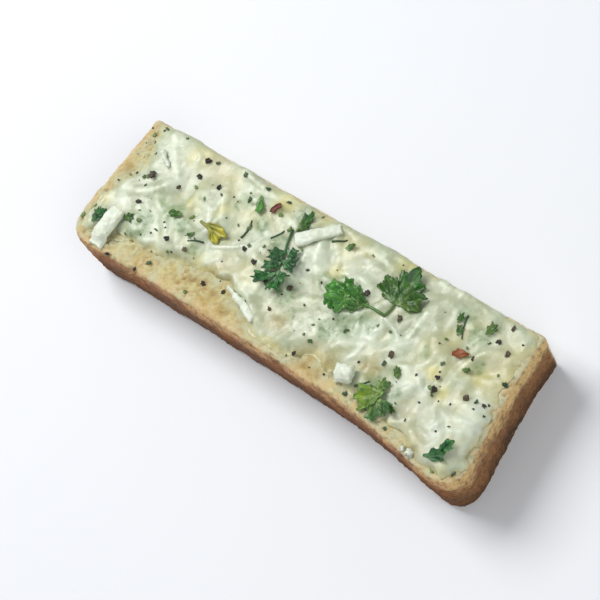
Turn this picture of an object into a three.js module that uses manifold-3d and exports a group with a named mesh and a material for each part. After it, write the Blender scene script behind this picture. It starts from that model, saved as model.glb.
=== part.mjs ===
// Cheese garlic bread: one toasted finger, cut from a square slice of sandwich bread and baked under
// melted cheese with parsley, unmelted cheese shreds, cracked pepper and chilli.
// Millimetres, +Z up. X runs along the finger, -Y is the baked crust side and +Y is the knife cut.

import * as THREE from "three";
import { mergeVertices } from "three/addons/utils/BufferGeometryUtils.js";
import Module from "manifold-3d";

const wasm = await Module();
wasm.setup();

// Bread
const LENGTH = 110.5; // crust end to crust end
const WIDTH = 33.4; // crust side to knife cut
const THICKNESS = 15.8; // slice thickness at the crust
const CORNER_RADIUS = 6.5; // rounded slice corners, on the crust side only
const CRUST_ROUND = 1.5; // soft edge of the baked sides
const CUT_ROUND = 0.7; // the knife leaves a crisp edge
const CRUMB_SINK = 0.7; // the crumb is pressed below the crust rim
const RIM_WIDTH = 4; // how wide that rim is
const FRONT_WAIST = 0.9; // the crust side draws in between its corners
const EAR = { x: 52, y: -16, span: 14, reach: 2.6 }; // one corner of the slice bulges out as an ear
const END_FLARE = 0.04; // the ends run longer towards the crust side, per millimetre
const END_LEAN = 1; // the right end leans out at the top
const CRUST_RIPPLE = 0.2; // unevenness of the baked sides
const PAN_TRIM = 0.5; // the rounded underside is pressed flat by this much in the pan

// Cheese
const CHEESE_THICKNESS = 1.1;
const CHEESE_EDGE = 0.45; // thickness of its thin rim, as a share of the full layer
const CHEESE_ROLL = 3; // distance over which the layer swells from its rim
const RIGHT_BARE = 1.7; // bread left bare at the right end
const LEFT_BARE = { rim: 3, bay: 4, y: 5, span: 6.5 }; // and at the left end, where a bay runs in
const CUT_GAP = 0.4; // the layer stops just short of the cut
// Bare bread along the crust side: place along the finger, width left bare.
const FRONT_BARE = [
  [-54, 2],
  [-43, 3.2],
  [-36, 5.3],
  [-26, 6.2],
  [-15, 8.3],
  [-6, 5.8],
  [2, 2.2],
  [10, 3.2],
  [17, 6],
  [26, 3.8],
  [33, 2.8],
  [40, 1.6],
  [48, 0.9],
  [56, 1.2],
];
// White mounds that stand above the rest of the layer, and the small lumps of melted shreds between.
const MOUNDS = [
  [-39.8, 11],
  [-27.8, 6.4],
  [-7.8, -0.8],
  [33.5, 10],
  [52.5, -5.5],
  [54, -16],
];
const MOUND = { height: 0.9, radius: 4.6 };
const LUMPS = 60;
const LUMP_HEIGHT = [0.2, 0.8];
const LUMP_RADIUS = [2, 4.2];

// Toppings
const GAP = 0.35; // air between pieces that rest on each other
const LEAF_THICKNESS = 0.45;
const LEAF_CURL = 0.9;
// Parsley: place, size along and across, turn in degrees, lobes, how deep they are cut, stalk length.
const LEAVES = [
  { name: "parsley_1", x: 25.2, y: 10.8, long: 8.6, wide: 8.4, turn: 87, lobes: 5, cut: 0.14, stalk: 3 },
  { name: "parsley_2", x: 16.1, y: 3, long: 11.6, wide: 4.8, turn: 184, lobes: 7, cut: 0.2, stalk: 3 },
  { name: "parsley_3", x: -1.6, y: 0.6, long: 11.4, wide: 9, turn: -66, lobes: 7, cut: 0.2, stalk: 6.5 },
  { name: "parsley_4", x: -4, y: 12, long: 5.4, wide: 3.4, turn: 74, lobes: 3, cut: 0.2, stalk: 0 },
  { name: "parsley_5", x: 33.5, y: -11.3, long: 9.6, wide: 6.6, turn: 8, lobes: 5, cut: 0.2, stalk: 0 },
  { name: "parsley_6", x: 53.4, y: -13.8, long: 7, wide: 3.6, turn: 48, lobes: 3, cut: 0.16, stalk: 0 },
  { name: "parsley_7", x: -49.8, y: -9.2, long: 4.8, wide: 3.2, turn: 84, lobes: 3, cut: 0.16, stalk: 0 },
  { name: "parsley_8", x: -16, y: 10.5, long: 4.8, wide: 2.3, turn: -55, lobes: 3, cut: 0.1, stalk: 0 },
  { name: "yellow_leaf", x: -21.6, y: 0.5, long: 7, wide: 3.3, turn: -6, lobes: 3, cut: 0.1, stalk: 3 },
];
// Unmelted shreds of cheese: place, length, width, height, turn in degrees, width left at the far end.
const SHREDS = [
  { name: "cheese_shred_1", x: -46, y: -10.8, long: 9.6, wide: 4.2, high: 1.9, turn: 88, taper: 0.95 },
  { name: "cheese_shred_2", x: -5.3, y: -9.4, long: 10.6, wide: 2.4, high: 1.1, turn: 164, taper: 0.35 },
  { name: "cheese_shred_3", x: 0.7, y: 11.2, long: 10.2, wide: 3.7, high: 1.5, turn: 45, taper: 0.7 },
  { name: "cheese_shred_4", x: -44.2, y: 8.9, long: 4.4, wide: 1.2, high: 0.9, turn: -35, taper: 0.7 },
  { name: "cheese_cube", x: 25.3, y: -10.5, long: 4.2, wide: 4, high: 2.3, turn: 20, taper: 0.9 },
];
// Small toppings, fused to the cheese: place and size.
const HERB_BITS = [
  [46.1, 12.3, 3],
  [8.8, 12.3, 2.6],
  [-32.3, -0.5, 3.2],
  [38.4, -11.6, 2.6],
  [40.6, 8.8, 1.8],
  [39.4, 11, 1.6],
  [-42.4, -6.4, 2.6],
  [34.9, -4.8, 2.4],
  [-25.8, -2.8, 1.8],
  [47.1, 2.6, 1.6],
];
const CHILLI_FLAKES = [
  [-12.1, 11.6, 2.6],
  [43.8, 4.8, 2.9],
];
const PEPPER = [
  [-44.6, 4.5, 1.9],
  [43.8, -3.9, 1.5],
  [18.3, 5.9, 1.5],
  [31.5, -2.3, 1.5],
  [27.9, 4.9, 1.4],
  [-30.5, -6.1, 1.4],
  [-24.8, -6.1, 1.2],
  [-34.8, 13.4, 1.5],
  [-34.4, 9.4, 1.3],
  [-27.6, 9.2, 1.3],
  [-7.8, -0.8, 1.3],
  [2.9, -1.6, 1.5],
  [-43.3, -2.3, 1.2],
  [50.8, -2.3, 1.5],
  [48.7, 10.8, 1.3],
  [54.6, -1.6, 1.1],
  [43.1, -1.5, 1.2],
  [1.6, -7.3, 1.1],
  [-12.2, 0.6, 1.2],
  [-37.2, 5, 1.1],
  [52, 9.5, 1.2],
];

const { lerp, clamp, smoothstep, degToRad } = THREE.MathUtils;
const spread = (n) => (i) => {
  const even = (2 * i) / n - 1;
  return (even - Math.cos((Math.PI * i) / n)) / 2;
};
// An even scatter over a square from -1 to 1: the n-th step of two irrational strides.
const scatter = (n) => [0.7548776662, 0.569840291].map((stride) => 2 * ((0.5 + n * stride) % 1) - 1);

// A closed box of quads whose corners go where place(u, v, w) puts them, each of u, v, w from -1 to 1.
function shapedBox(nx, ny, nz, place) {
  const box = new THREE.BoxGeometry(2, 2, 2, nx, ny, nz);
  box.deleteAttribute("normal");
  box.deleteAttribute("uv");
  const geometry = mergeVertices(box, 1e-4);
  const points = geometry.getAttribute("position");
  const step = (value, n) => spread(n)(Math.round(((value + 1) / 2) * n));
  for (let i = 0; i < points.count; i++) {
    const [u, v, w] = [step(points.getX(i), nx), step(points.getY(i), ny), step(points.getZ(i), nz)];
    points.setXYZ(i, ...place(u, v, w));
  }
  return geometry;
}

function solidOf(geometry) {
  const vertProperties = new Float32Array(geometry.getAttribute("position").array);
  const triVerts = new Uint32Array(geometry.index.array);
  return new wasm.Manifold(new wasm.Mesh({ numProp: 3, vertProperties, triVerts }));
}

function geometryOf(solid) {
  const { vertProperties, triVerts } = solid.getMesh();
  const geometry = new THREE.BufferGeometry();
  geometry.setAttribute("position", new THREE.BufferAttribute(new Float32Array(vertProperties), 3));
  geometry.setIndex(new THREE.BufferAttribute(new Uint32Array(triVerts), 1));
  geometry.computeVertexNormals();
  return geometry;
}

// The largest body of a solid, so that no loose scrap is left by a join.
function mainBody(solid) {
  return solid.decompose().reduce((best, body) => (body.volume() > best.volume() ? body : best));
}

function named(name, geometry, color, roughness) {
  const mesh = new THREE.Mesh(geometry, new THREE.MeshStandardMaterial({ color, roughness, metalness: 0 }));
  mesh.name = name;
  return mesh;
}

// Where a point of the straight slice goes in the real outline: rounded front corners, an ear on one
// of them, a slack front side, and a right end that is neither square nor upright.
function slicePlan(x, y, lift) {
  const overX = (Math.abs(x) - (LENGTH / 2 - CORNER_RADIUS)) / CORNER_RADIUS;
  const overY = (-y - (WIDTH / 2 - CORNER_RADIUS)) / CORNER_RADIUS;
  if (overX > 0 && overY > 0) {
    const pull = Math.max(overX, overY) / Math.hypot(overX, overY);
    x = Math.sign(x) * (LENGTH / 2 - CORNER_RADIUS * (1 - overX * pull));
    y = -(WIDTH / 2 - CORNER_RADIUS * (1 - overY * pull));
  }
  const frontShare = clamp(0.5 - y / WIDTH, 0, 1);
  const along = (2 * x) / LENGTH;
  const ear = EAR.reach * Math.exp(-((x - EAR.x) ** 2 + (y - EAR.y) ** 2) / EAR.span ** 2);
  const lean = END_LEAN * lift * Math.max(0, along) ** 4;
  return [
    x + lean + ear + along ** 3 * END_FLARE * (WIDTH / 2 - y),
    y - ear + frontShare * FRONT_WAIST * (1 - along ** 2),
  ];
}

// Slow waves that stand for the unevenness of a baked surface, from -1 to 1.
function ripple(x, y, z) {
  const waves = [0.31 * x + 0.4 * z, 0.73 * x - 0.52 * y + 1.3, 0.9 * y + 0.61 * z + 2];
  return waves.reduce((sum, wave) => sum + Math.sin(wave), 0) / waves.length;
}

function breadPoint(u, v, w) {
  const straight = new THREE.Vector3((u * LENGTH) / 2, (v * WIDTH) / 2, (w * THICKNESS) / 2);
  const toCut = smoothstep(v, 0.6, 1);
  const round = new THREE.Vector3(
    CRUST_ROUND,
    v > 0 ? CUT_ROUND : CRUST_ROUND,
    lerp(CRUST_ROUND, CUT_ROUND, toCut),
  );
  const core = new THREE.Vector3(
    clamp(straight.x, round.x - LENGTH / 2, LENGTH / 2 - round.x),
    clamp(straight.y, round.y - WIDTH / 2, WIDTH / 2 - round.y),
    clamp(straight.z, round.z - THICKNESS / 2, THICKNESS / 2 - round.z),
  );
  const out = straight.clone().sub(core).divide(round);
  const side = v < 0 ? Math.max(Math.abs(out.x), Math.abs(out.y)) : Math.hypot(out.x, out.y);
  const reach = Math.max(Math.abs(out.x), Math.abs(out.y), Math.abs(out.z));
  if (reach > 0) out.multiplyScalar(reach / Math.hypot(side, out.z));
  const soft = core.add(out.multiply(round));
  const [x, y] = slicePlan(soft.x, soft.y, w);
  const bump = CRUST_RIPPLE * ripple(x, y, soft.z);
  const edge = Math.min(LENGTH / 2 - Math.abs(straight.x), straight.y + WIDTH / 2);
  const sink = w > 0 ? CRUMB_SINK * smoothstep(edge, 0, RIM_WIDTH) * w : 0;
  return [
    x + bump * Math.sign(u) * Math.abs(u) ** 8,
    y - bump * Math.max(0, -v) ** 8,
    soft.z + THICKNESS / 2 - PAN_TRIM - sink + (w > 0 ? bump : 0),
  ];
}

// The finger of bread, pressed flat underneath.
function makeBread() {
  const rough = solidOf(shapedBox(44, 16, 6, breadPoint));
  const pan = new THREE.BoxGeometry(2 * LENGTH, 2 * WIDTH, THICKNESS);
  pan.deleteAttribute("normal");
  pan.deleteAttribute("uv");
  pan.translate(0, 0, -THICKNESS / 2);
  const flat = rough.subtract(solidOf(mergeVertices(pan)));
  return named("bread", geometryOf(mainBody(flat)), 0xc9a36b, 0.85);
}

// The highest point of the given meshes under a small round patch, looking straight down.
function heightOver(meshes, x, y, patch = 0) {
  const rays = [[0, 0], [1, 0], [-1, 0], [0, 1], [0, -1]].slice(0, patch > 0 ? 5 : 1);
  const down = new THREE.Vector3(0, 0, -1);
  const heights = rays.map(([i, j]) => {
    const from = new THREE.Vector3(x + i * patch, y + j * patch, 100);
    const hit = new THREE.Raycaster(from, down).intersectObjects(meshes)[0];
    return hit ? hit.point.z : -Infinity;
  });
  return Math.max(...heights);
}

const bareCurve = new THREE.SplineCurve(FRONT_BARE.map(([x, bare]) => new THREE.Vector2(x, bare)));
const barePoints = bareCurve.getPoints(120);
function frontBare(x) {
  const next = barePoints.findIndex((point) => point.x >= x);
  return barePoints[next < 0 ? barePoints.length - 1 : next].y;
}

const lumps = MOUNDS.map(([x, y]) => ({ x, y, ...MOUND }));
for (let n = 0; n < LUMPS; n++) {
  const [a, b] = scatter(n);
  const [c, d] = scatter(n + LUMPS).map((value) => (value + 1) / 2);
  const [radius, height] = [lerp(...LUMP_RADIUS, c), lerp(...LUMP_HEIGHT, d)];
  lumps.push({ x: (a * LENGTH) / 2, y: (b * WIDTH) / 2, radius, height });
}
function lumpHeight(x, y) {
  return lumps.reduce((sum, lump) => {
    const far = Math.hypot(x - lump.x, y - lump.y) / lump.radius;
    return sum + lump.height * Math.exp(-(far ** 2));
  }, 0);
}

// The melted layer: thin at its rolled rim, full at the knife cut, and lumpy between.
function cheeseLayer(bread) {
  return shapedBox(54, 20, 1, (u, v, w) => {
    const bay = Math.exp(-((((v * WIDTH) / 2 - LEFT_BARE.y) / LEFT_BARE.span) ** 2));
    const left = LEFT_BARE.rim + LEFT_BARE.bay * bay;
    const x0 = lerp(left - LENGTH / 2, LENGTH / 2 - RIGHT_BARE, (u + 1) / 2);
    const y0 = lerp(frontBare(x0) - WIDTH / 2, WIDTH / 2 - CUT_GAP, (v + 1) / 2);
    const [x, y] = slicePlan(x0, y0, 1);
    const fromRim = Math.min(((1 - Math.abs(u)) * LENGTH) / 2, ((v + 1) * WIDTH) / 2);
    const swell = lerp(CHEESE_EDGE, 1, smoothstep(fromRim, 0, CHEESE_ROLL));
    const under = heightOver([bread], x, y) + GAP;
    return [x, y, w < 0 ? under : under + swell * (CHEESE_THICKNESS + lumpHeight(x, y))];
  });
}

// A small hard crumb of topping, flattened by `flat` and half sunk where it lands.
function speck([x, y, size], flat, turn, ground) {
  const crumb = new THREE.IcosahedronGeometry(size / 2, 0);
  crumb.deleteAttribute("normal");
  crumb.deleteAttribute("uv");
  crumb.scale(1, 0.72, flat);
  crumb.rotateZ(turn);
  crumb.translate(x, y, heightOver([ground], x, y) + 0.12 * size * flat);
  return solidOf(mergeVertices(crumb, 1e-4));
}

function makeCheese(bread) {
  const layer = named("layer", cheeseLayer(bread), 0xffffff, 0.5);
  const toppings = [
    ...HERB_BITS.map((bit, n) => speck(bit, 0.45, 2.4 * n, layer)),
    ...CHILLI_FLAKES.map((flake, n) => speck(flake, 0.6, 1.1 * n, layer)),
    ...PEPPER.map((grain, n) => speck(grain, 0.8, 1.7 * n, layer)),
  ];
  const fused = toppings.reduce((whole, topping) => whole.add(topping), solidOf(layer.geometry));
  return named("cheese", geometryOf(mainBody(fused)), 0xdfe3cf, 0.45);
}

// A lobed leaf with a curled edge, its two faces split alike, draped over what carries it.
function makeLeaf(leaf, ground) {
  const turn = degToRad(leaf.turn);
  const sides = 4 * leaf.lobes + 12;
  const flat = [[0, 0, 0]];
  for (const ring of [0.5, 1]) {
    for (let i = 0; i < sides; i++) {
      const angle = (2 * Math.PI * i) / sides;
      const lobe = 1 - leaf.cut * (1 - Math.cos(leaf.lobes * angle));
      const stalk = Math.max(0, -Math.cos(angle)) ** 80 * leaf.stalk;
      const px = ring * (0.5 * leaf.long * lobe * Math.cos(angle) - stalk);
      const py = ring * 0.5 * leaf.wide * lobe * Math.sin(angle);
      flat.push([px, py, LEAF_CURL * ring ** 2 * (0.5 + 0.5 * Math.cos(3 * angle + leaf.x))]);
    }
  }
  const under = flat.map(([px, py, curl]) => {
    const x = leaf.x + px * Math.cos(turn) - py * Math.sin(turn);
    const y = leaf.y + px * Math.sin(turn) + py * Math.cos(turn);
    return [x, y, heightOver(ground, x, y, 0.7) + GAP + curl];
  });
  const count = under.length;
  const points = [...under, ...under.map(([x, y, z]) => [x, y, z + LEAF_THICKNESS])];
  const faces = [];
  const both = (a, b, c) => faces.push(a, c, b, a + count, b + count, c + count);
  for (let i = 0; i < sides; i++) {
    const j = (i + 1) % sides;
    const [a, b, c, d] = [1 + i, 1 + j, 1 + sides + i, 1 + sides + j];
    both(0, a, b);
    both(a, c, d);
    both(a, d, b);
    faces.push(c, d, d + count, c, d + count, c + count);
  }
  const geometry = new THREE.BufferGeometry();
  geometry.setAttribute("position", new THREE.Float32BufferAttribute(points.flat(), 3));
  geometry.setIndex(faces);
  geometry.computeVertexNormals();
  return named(leaf.name, geometry, leaf.name === "yellow_leaf" ? 0xa9a53a : 0x3f6b33, 0.6);
}

// A soft-edged strip that sags along what carries it.
function makeShred(shred, ground) {
  const turn = degToRad(shred.turn);
  const geometry = shapedBox(8, 3, 2, (u, v, w) => {
    const narrow = lerp(1, shred.taper, (u + 1) / 2);
    const px = (u * shred.long) / 2;
    const py = (v * shred.wide * narrow * (1 - 0.12 * Math.abs(w))) / 2;
    const x = shred.x + px * Math.cos(turn) - py * Math.sin(turn);
    const y = shred.y + px * Math.sin(turn) + py * Math.cos(turn);
    const height = shred.high * (1 - 0.22 * v * v) * (1 - 0.15 * u * u);
    return [x, y, heightOver(ground, x, y, 0.6) + GAP + ((w + 1) / 2) * height];
  });
  return named(shred.name, geometry, 0xf1f4ea, 0.5);
}

const bread = makeBread();
const cheese = makeCheese(bread);
const shreds = SHREDS.map((shred) => makeShred(shred, [bread, cheese]));
const leaves = LEAVES.map((leaf) => makeLeaf(leaf, [bread, cheese, ...shreds]));

const finger = new THREE.Group();
finger.add(bread, cheese, ...shreds, ...leaves);

// The origin is the middle of the finger's box, at the face it rests on.
const box = new THREE.Box3().setFromObject(finger);
const middle = box.getCenter(new THREE.Vector3());
finger.position.set(-middle.x, -middle.y, -box.min.z);
const garlicBread = new THREE.Group();
garlicBread.add(finger);

export default garlicBread;
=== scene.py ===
# %% [markdown]
# # A finger of cheese garlic bread
# A slice of sandwich bread, cut in thirds, buttered, covered with grated cheese, parsley, pepper and
# chilli, and toasted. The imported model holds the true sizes; this lesson gives every surface its looks.
# All lengths in the helpers are millimetres, because that is how food is measured; Blender's own unit
# here is the metre, so MM turns one into the other.

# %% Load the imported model
import math
import random

import bpy
import numpy as np
from mathutils import Matrix, Vector, noise
from mathutils.bvhtree import BVHTree
from mathutils.kdtree import KDTree


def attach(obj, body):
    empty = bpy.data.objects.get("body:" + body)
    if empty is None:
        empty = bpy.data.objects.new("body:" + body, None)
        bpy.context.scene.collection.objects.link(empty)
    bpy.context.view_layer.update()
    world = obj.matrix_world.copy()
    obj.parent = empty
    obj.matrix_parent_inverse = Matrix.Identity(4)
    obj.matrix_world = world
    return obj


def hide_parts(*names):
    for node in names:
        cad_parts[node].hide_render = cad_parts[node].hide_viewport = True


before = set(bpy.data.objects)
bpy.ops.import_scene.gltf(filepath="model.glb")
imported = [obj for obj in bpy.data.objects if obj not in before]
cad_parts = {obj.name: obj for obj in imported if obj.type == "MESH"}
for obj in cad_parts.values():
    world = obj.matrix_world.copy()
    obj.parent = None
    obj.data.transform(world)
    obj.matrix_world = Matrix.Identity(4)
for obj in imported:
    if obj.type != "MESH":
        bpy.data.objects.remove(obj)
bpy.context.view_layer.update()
MM = 0.001
# Places in the lists below are measured from the middle of the slice; the model's own origin is the
# middle of its box, this far away.
TO_ORIGIN = (-1.44, 1.17)

# %% [markdown]
# ## Handles for the work
# Blender's operators act on whatever is selected, so each helper first selects one piece and nothing
# else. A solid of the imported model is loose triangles; its copy has its doubles merged before any
# modifier touches it. A modifier is added, set and applied at once, so that the finished piece is plain
# mesh, with its place in its points.

# %% Helpers for objects and modifiers
def only(piece):
    bpy.ops.object.select_all(action="DESELECT")
    piece.select_set(True)
    bpy.context.view_layer.objects.active = piece


def new_piece(name, points_mm, faces):
    mesh = bpy.data.meshes.new(name)
    mesh.from_pydata([tuple(p) for p in np.asarray(points_mm) * MM], [], [tuple(f) for f in faces])
    mesh.update()
    piece = bpy.data.objects.new(name, mesh)
    bpy.context.scene.collection.objects.link(piece)
    return piece


def work_copy(node, name):
    piece = bpy.data.objects.new(name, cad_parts[node].data.copy())
    piece.data.name = name
    piece.data.materials.clear()
    bpy.context.scene.collection.objects.link(piece)
    only(piece)
    bpy.ops.object.mode_set(mode="EDIT")
    bpy.ops.mesh.select_all(action="SELECT")
    bpy.ops.mesh.remove_doubles(threshold=1e-6)
    bpy.ops.object.mode_set(mode="OBJECT")
    return piece


def apply_modifier(piece, kind, **settings):
    only(piece)
    modifier = piece.modifiers.new(kind.lower(), kind)
    for key, value in settings.items():
        setattr(modifier, key, value)
    bpy.ops.object.modifier_apply(modifier=modifier.name)


def even_faces(piece, size_mm, melt):
    apply_modifier(piece, "REMESH", mode="VOXEL", voxel_size=size_mm * MM)
    apply_modifier(piece, "SMOOTH", factor=0.5, iterations=melt)


def finish_piece(piece, material, slot, *nodes, smooth=True):
    piece.data.materials.clear()
    piece.data.materials.append(material)
    only(piece)
    if smooth:
        bpy.ops.object.shade_smooth()
    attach(piece, "root")
    if nodes:
        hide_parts(*nodes)
    print(piece.name, "triangles:", sum(len(p.vertices) - 2 for p in piece.data.polygons))


# %% [markdown]
# A piece's points are read into one array, so that a whole surface can be measured and painted at once.
# What is painted is an attribute, a number at every point, which a material reads by its name; a vertex
# group is the same for modifiers. Painting by brush would do for one picture, but numbers that follow from
# the shape stay right when the shape changes.

# %% Helpers for points and paint
def points_of(piece):
    flat = np.empty(len(piece.data.vertices) * 3, np.float32)
    piece.data.vertices.foreach_get("co", flat)
    return flat.reshape(-1, 3) / MM


def move_points(piece, points_mm):
    piece.data.vertices.foreach_set("co", (np.asarray(points_mm, np.float32) * MM).ravel())
    piece.data.update()


def normals_of(piece):
    flat = np.empty(len(piece.data.vertices) * 3, np.float32)
    piece.data.vertices.foreach_get("normal", flat)
    return flat.reshape(-1, 3)


def paint(piece, name, values):
    layer = piece.data.attributes.get(name) or piece.data.attributes.new(name, "FLOAT", "POINT")
    layer.data.foreach_set("value", np.asarray(values, np.float32))


# A vertex group is filled in this many equal steps of weight.
WEIGHT_STEPS = 20


def weigh(piece, name, values):
    group = piece.vertex_groups.new(name=name)
    steps = np.round(np.clip(values, 0, 1) * WEIGHT_STEPS).astype(int)
    for step in range(1, WEIGHT_STEPS + 1):
        chosen = np.flatnonzero(steps == step)
        if len(chosen):
            group.add(chosen.tolist(), step / WEIGHT_STEPS, "REPLACE")


def ramp01(low, high, values):
    share = np.clip((values - low) / (high - low), 0, 1)
    return share * share * (3 - 2 * share)


def uneven(points, size_mm, seed):
    shift = Vector((seed * 7.1, seed * 3.3, seed * 5.7))
    return np.array([noise.noise(Vector(p) / size_mm + shift) for p in points.tolist()])


# %% [markdown]
# ## Handles for the finishes
# A finish is a Principled shader fed by a few procedural textures. Object coordinates are used
# throughout, in metres, so a texture's scale is one over the size of its grain. Colours are written as
# they look on a screen, from 0 to 255, and turned into the linear values that a shader works with.

# %% Helpers for materials
def tint(red, green, blue):
    part = [c / 255 for c in (red, green, blue)]
    return tuple(c / 12.92 if c <= 0.04045 else ((c + 0.055) / 1.055) ** 2.4 for c in part) + (1.0,)


class Finish:
    def __init__(self, name):
        self.material = bpy.data.materials.new(name)
        self.material.use_nodes = True
        self.tree = self.material.node_tree
        self.shader = self.tree.nodes["Principled BSDF"]
        self.place = self.add("ShaderNodeTexCoord").outputs["Object"]

    def add(self, kind, **settings):
        made = self.tree.nodes.new(kind)
        for key, value in settings.items():
            setattr(made, key, value)
        return made

    def feed(self, socket, value):
        if isinstance(value, bpy.types.NodeSocket):
            self.tree.links.new(value, socket)
        else:
            socket.default_value = value

    def set(self, **sockets):
        for name, value in sockets.items():
            self.feed(self.shader.inputs[name.replace("_", " ")], value)

    def noise(self, size_mm, detail, rough=0.55, stretch=(1, 1, 1)):
        turn = self.add("ShaderNodeMapping")
        self.feed(turn.inputs["Vector"], self.place)
        turn.inputs["Scale"].default_value = [s / (size_mm * MM) for s in stretch]
        made = self.add("ShaderNodeTexNoise")
        self.feed(made.inputs["Vector"], turn.outputs["Vector"])
        made.inputs["Scale"].default_value = 1.0
        made.inputs["Detail"].default_value = detail
        made.inputs["Roughness"].default_value = rough
        return made.outputs["Fac"]

    def painted(self, name):
        return self.add("ShaderNodeAttribute", attribute_name=name).outputs["Fac"]

    def span(self, value, low, high, start=0.0, end=1.0):
        made = self.add("ShaderNodeMapRange", interpolation_type="SMOOTHSTEP")
        for socket, number in zip(made.inputs[:5], (value, low, high, start, end)):
            self.feed(socket, number)
        return made.outputs["Result"]

    def maths(self, kind, first, second):
        made = self.add("ShaderNodeMath", operation=kind)
        self.feed(made.inputs[0], first)
        self.feed(made.inputs[1], second)
        return made.outputs[0]

    def mix(self, share, first, second):
        made = self.add("ShaderNodeMix", data_type="RGBA")
        self.feed(made.inputs[0], share)
        self.feed(made.inputs[6], first)
        self.feed(made.inputs[7], second)
        return made.outputs[2]

    def bump(self, height, depth_mm, under=None):
        made = self.add("ShaderNodeBump")
        made.inputs["Strength"].default_value = 1.0
        made.inputs["Distance"].default_value = depth_mm * MM
        self.feed(made.inputs["Height"], height)
        if under is not None:
            self.feed(made.inputs["Normal"], under)
        return made.outputs["Normal"]


# %% [markdown]
# ## Rays that measure
# Cheese lies on bread and leaves lie on cheese, so this lesson often asks how high a surface is at some
# place. A Shrinkwrap modifier can lay one piece on another, but it can't say how thick a layer is. So a
# search tree is made of a piece's faces, and a ray dropped on it from above gives the height.

# %% Helpers that drop a ray
def tree_of(*pieces):
    points, faces = [], []
    for piece in pieces:
        start = len(points)
        points.extend(v.co.copy() for v in piece.data.vertices)
        faces.extend([start + i for i in p.vertices] for p in piece.data.polygons)
    return BVHTree.FromPolygons(points, faces)


def drop(tree, x, y, miss=None):
    hit = tree.ray_cast(Vector((x * MM, y * MM, 0.1)), Vector((0, 0, -1)))[0]
    return miss if hit is None else hit.z / MM


def heights(tree, xyz, miss):
    return np.array([drop(tree, x, y, miss) for x, y in xyz[:, :2].tolist()])


# %% [markdown]
# ## The toast
# The bread's solid has the right outline but coarse facets. Subdividing would keep its long thin
# triangles, so a voxel Remesh gives the copy an even skin of small faces and a Smooth takes the facets
# out; pores and blisters can then be pressed into it. Which kind of surface a point belongs to follows
# from the way it faces: the knife cut faces +Y, the buttered side faces up, the pan side faces down, and
# all else is baked crust.

# %% Even skin for the bread
toast = work_copy("bread", "toast")
even_faces(toast, size_mm=0.385, melt=5)
place = points_of(toast)
facing = normals_of(toast)
plain_top = tree_of(toast)
cut_y = place[:, 1].max()
cut = ramp01(0.3, 0.75, facing[:, 1]) * ramp01(cut_y - 2.2, cut_y - 1.2, place[:, 1])
top = ramp01(0.35, 0.8, facing[:, 2])
pan = ramp01(0.35, 0.8, -facing[:, 2])
crust = np.clip(1 - np.maximum(np.maximum(cut, top), pan), 0, 1)
print("toast points:", len(place), "share crust:", round(float(crust.mean()), 2))

# %% [markdown]
# Crumb is a foam of gas bubbles, sliced open. A bump in the material would look much the same from above,
# but would leave a straight line along the cut's edge, so the pores are real pits. A Voronoi texture in a
# Displace modifier presses a round pit at every cell's middle; its colour ramp keeps the walls between
# pits flat. Three sizes of pit, each limited by a vertex group, read better than one, because real crumb
# is uneven. The buttered side has only the smaller pits, with a rough toasted grain between them; the
# baked sides have no open pores, only blisters and a fine grain.

# %% Textures that press
# The texture value that leaves a point where it is: 1 presses only inwards, 0.5 moves both ways.
ONLY_IN = 1.0
BOTH_WAYS = 0.5


def pit_texture(name, size_mm, wall):
    made = bpy.data.textures.new(name, "VORONOI")
    made.noise_scale = size_mm * MM
    made.use_color_ramp = True
    made.color_ramp.elements[0].position = wall * 0.25
    made.color_ramp.elements[0].color = (0, 0, 0, 1)
    made.color_ramp.elements[1].position = wall
    made.color_ramp.elements[1].color = (1, 1, 1, 1)
    return made


def cloud_texture(name, size_mm, depth=2):
    made = bpy.data.textures.new(name, "CLOUDS")
    made.noise_scale = size_mm * MM
    made.noise_depth = depth
    return made


def press(piece, texture, depth_mm, group="", level=BOTH_WAYS):
    apply_modifier(
        piece, "DISPLACE", texture=texture, texture_coords="LOCAL",
        strength=depth_mm * MM, mid_level=level, vertex_group=group,
    )


# %% Press pores and grain into the bread
# Each row is a texture's name, the size of its bubbles, their wall, their depth and where they lie.
BUBBLES = [
    ("large bubbles", 3.2, 0.3, 0.8, "open crumb"),
    ("middle bubbles", 1.7, 0.36, 0.55, "fine crumb"),
    ("small bubbles", 1.0, 0.5, 0.4, "fine crumb"),
]
# Each row is a texture's name, the size of its grain, its rounds of detail, its height and where it lies.
GRAIN = [
    ("toasted grain", 0.95, 2, 0.5, "buttered side"),
    ("crust blisters", 5.0, 1, 0.45, "baked side"),
    ("crust grain", 0.95, 2, 0.6, "baked side"),
]
patchy = np.clip(0.75 + 0.9 * uneven(place, 4, 12), 0.2, 1)
open_crumb = np.maximum(cut * patchy, 0.85 * pan)
fine_crumb = np.maximum(open_crumb, 0.9 * top * np.clip(0.75 + uneven(place, 5, 14), 0.3, 1))
weigh(toast, "open crumb", open_crumb)
weigh(toast, "fine crumb", fine_crumb)
weigh(toast, "buttered side", top * np.clip(0.8 + 0.8 * uneven(place, 3, 15), 0.35, 1))
weigh(toast, "baked side", crust)
for name, size_mm, wall, depth_mm, where in BUBBLES:
    press(toast, pit_texture(name, size_mm, wall), depth_mm, where, ONLY_IN)
for name, size_mm, detail, height_mm, where in GRAIN:
    press(toast, cloud_texture(name, size_mm, detail), height_mm, where)
settled = points_of(toast)
raised = ((settled - place) * facing).sum(axis=1)
print("deepest pore in mm:", round(float(np.abs(raised).max()), 2))
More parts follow.
